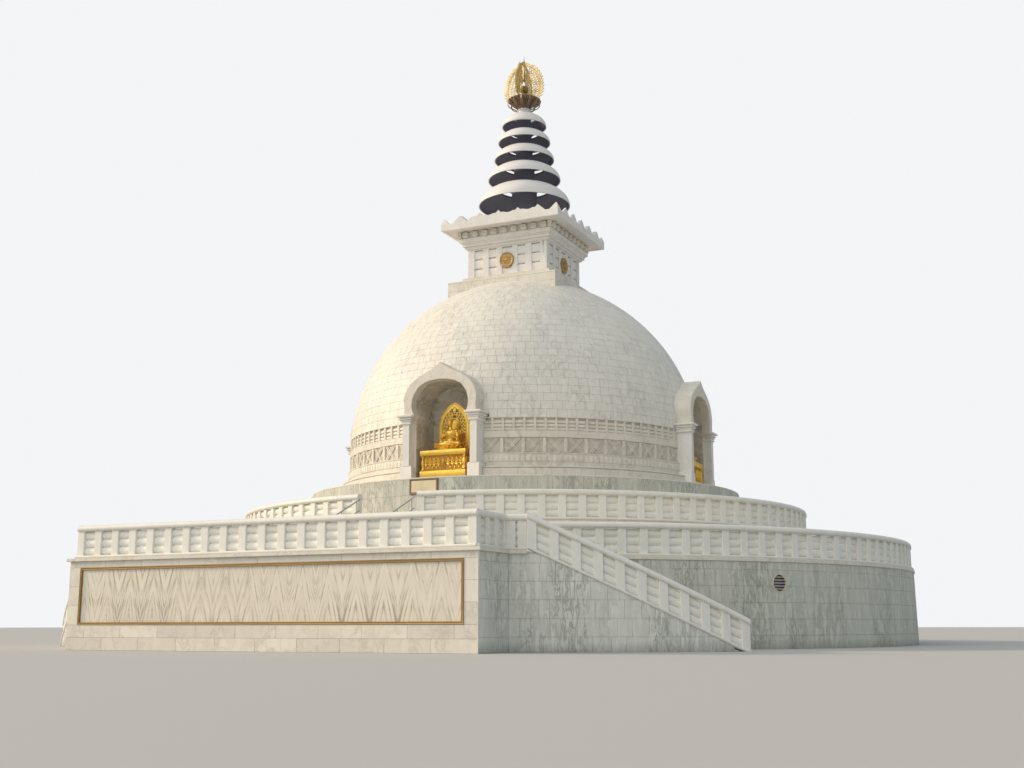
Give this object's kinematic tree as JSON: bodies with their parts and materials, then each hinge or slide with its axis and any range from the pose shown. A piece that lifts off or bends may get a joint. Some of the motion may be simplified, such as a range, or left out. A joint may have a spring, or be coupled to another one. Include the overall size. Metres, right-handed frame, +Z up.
{
  "type": "stupa",
  "caption": "Domed stupa on two round railed terraces with a front landing, curved stairs, arched niches, a square chamber and a mast of umbrellas under a gilt jewel.",
  "frame": {"origin": "on the vertical axis of the dome and the round terraces, at ground level", "axes": "+Z up; -Y towards the front landing, +X to the right of someone who faces the front from outside"},
  "size_m": [33.28, 36.69, 28],
  "materials": {
    "cream_marble": "honed marble, warm cream with fine upright veins",
    "white_marble": "honed white marble, lightly weathered",
    "grey_marble": "honed grey-veined marble slabs",
    "white_paint": "white paint, slightly chalky",
    "dark_paint": "near-black paint, satin",
    "gilt": "bright gold leaf over brass",
    "old_gilt": "weathered gold leaf over bronze",
    "brass": "dull brass",
    "steel": "brushed stainless steel"
  },
  "bodies": {
    "root": {"chamber": "cream_marble", "chamber_cornice": "white_marble", "chamber_plinth": "white_marble", "dome": "cream_marble", "dome_drum": "cream_marble", "dome_ring": "white_marble", "figure_back": "gilt", "figure_front": "gilt", "figure_left": "gilt", "figure_right": "gilt", "flame_jewel": "old_gilt", "front_block": "grey_marble", "front_panel": "cream_marble", "front_panel_frame": "brass", "front_plaque": "brass", "front_rail": "white_marble", "front_steps": "grey_marble", "handrail_left": "steel", "handrail_right": "steel", "lotus_cup": "old_gilt", "lower_rail_1": "white_marble", "lower_rail_2": "white_marble", "lower_rail_3": "white_marble", "lower_rail_4": "white_marble", "lower_terrace": "grey_marble", "mast": "white_paint", "niche_back": "cream_marble", "niche_front": "cream_marble", "niche_left": "cream_marble", "niche_right": "cream_marble", "pedestal_back": "gilt", "pedestal_front": "gilt", "pedestal_left": "gilt", "pedestal_right": "gilt", "stair_left_flight": "grey_marble", "stair_left_rail": "white_marble", "stair_left_wall": "grey_marble", "stair_right_flight": "grey_marble", "stair_right_rail": "white_marble", "stair_right_wall": "grey_marble", "third_drum": "grey_marble", "umbrella_1": "white_paint", "umbrella_2": "white_paint", "umbrella_3": "white_paint", "umbrella_4": "white_paint", "umbrella_5": "white_paint", "upper_rail_1": "white_marble", "upper_rail_2": "white_marble", "upper_rail_3": "white_marble", "upper_rail_4": "white_marble", "upper_terrace": "grey_marble", "vent_left": "brass", "vent_right": "brass"}
  },
  "joints": []
}
